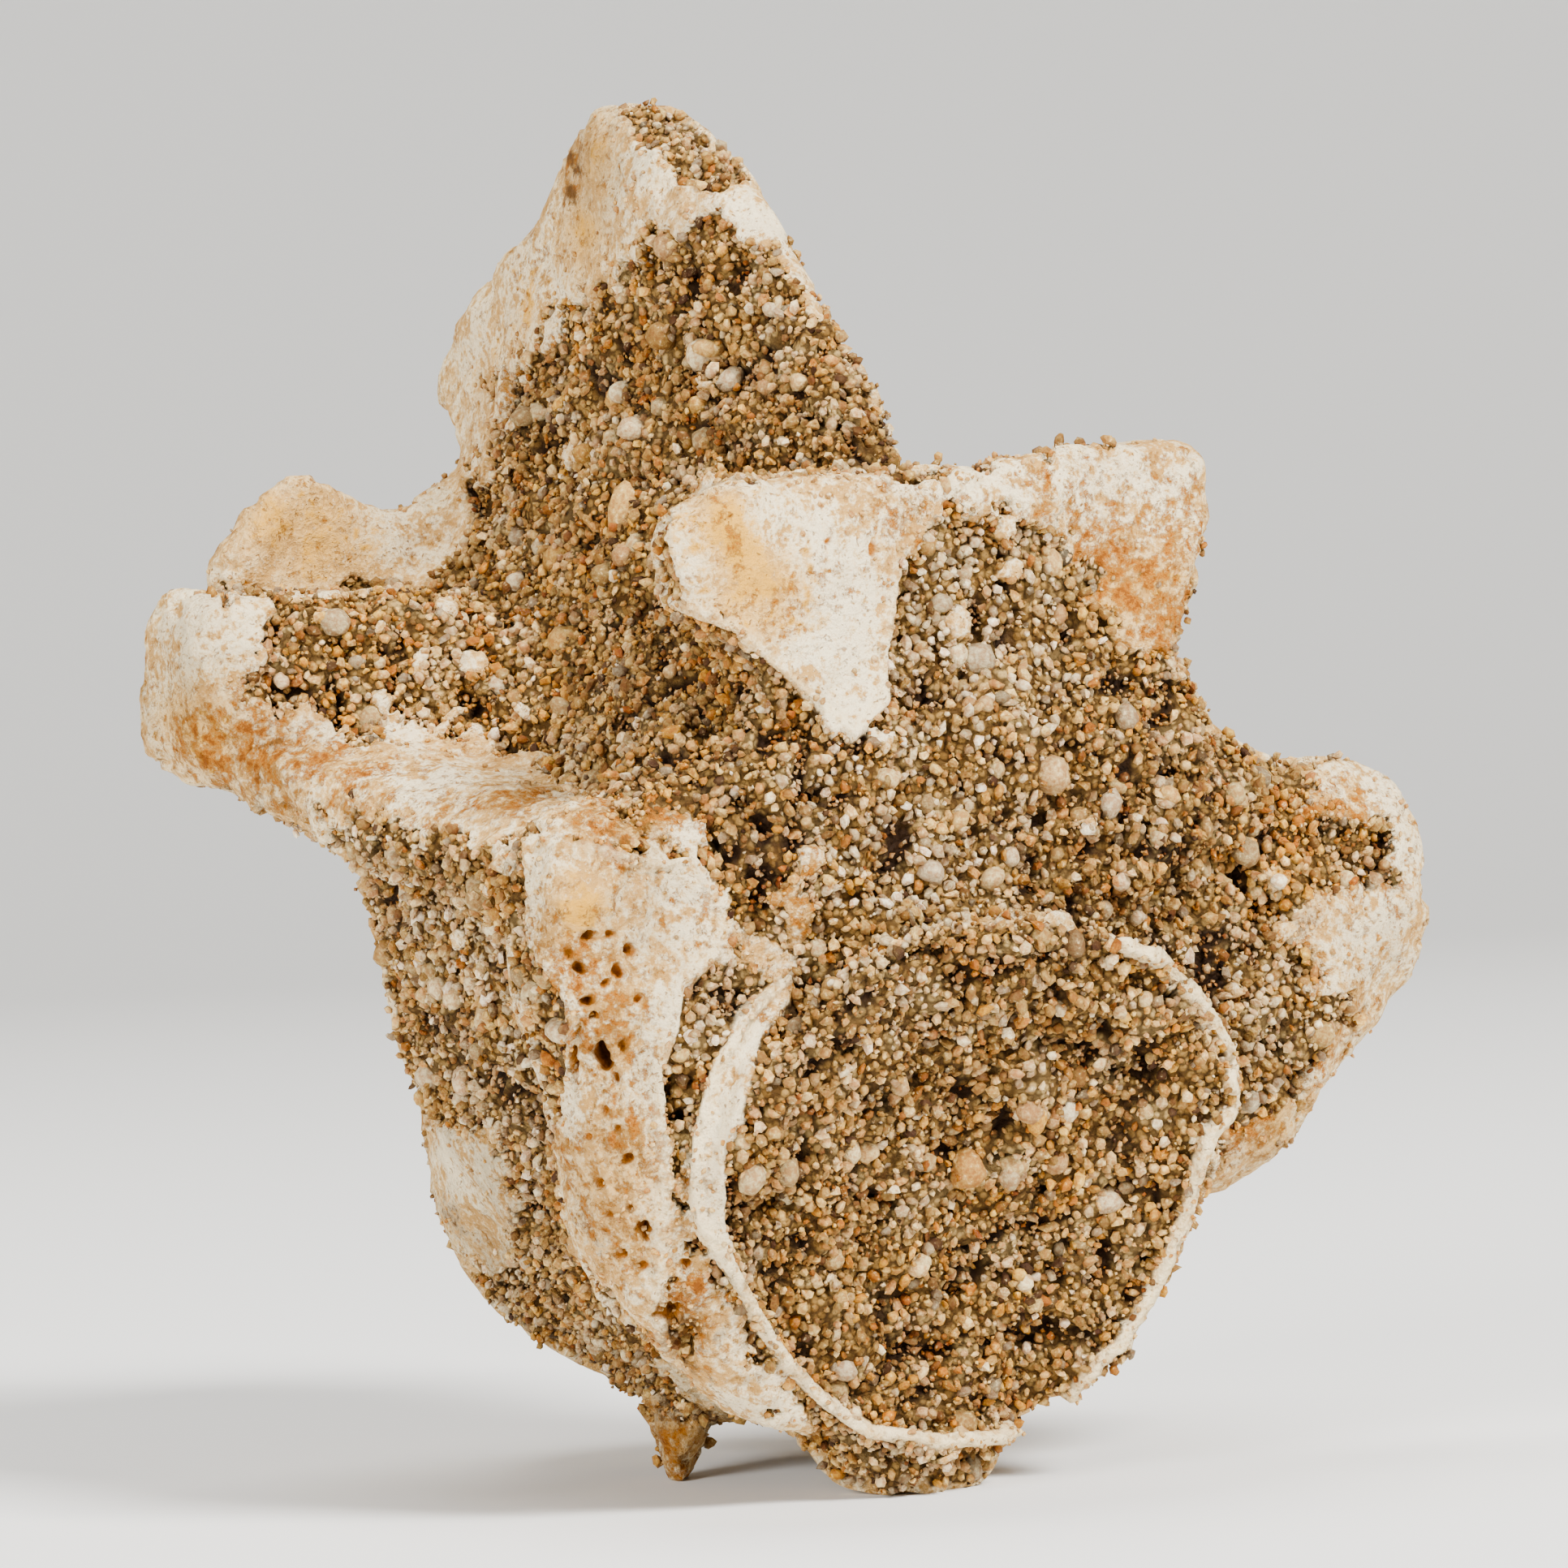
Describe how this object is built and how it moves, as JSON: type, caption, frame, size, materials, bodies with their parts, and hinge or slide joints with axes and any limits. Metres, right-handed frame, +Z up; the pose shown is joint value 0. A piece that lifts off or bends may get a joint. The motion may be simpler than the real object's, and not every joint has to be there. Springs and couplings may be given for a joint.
{
  "type": "fossil sea-snake vertebra",
  "caption": "Fossil sea-snake vertebra: a round front cup, side wings and a tall leaning blade, with cemented sand filling its hollows.",
  "frame": {"origin": "the middle of the bounding box in X and Y, at the height of the three low points that it stands on", "axes": "+Z up, along the animal's height; the front, with the round cup, faces -Y; +X is the side of the longer front wing, and the animal's midline is close to X = -1.2 mm"},
  "size_m": [0.0302, 0.0296, 0.0387],
  "materials": {
    "fossil_bone": "matte, slightly porous, cream with rust stains",
    "cemented_sand": "rough, granular, tan to brown"
  },
  "bodies": {
    "root": {"vertebra": "fossil_bone"}
  },
  "joints": []
}
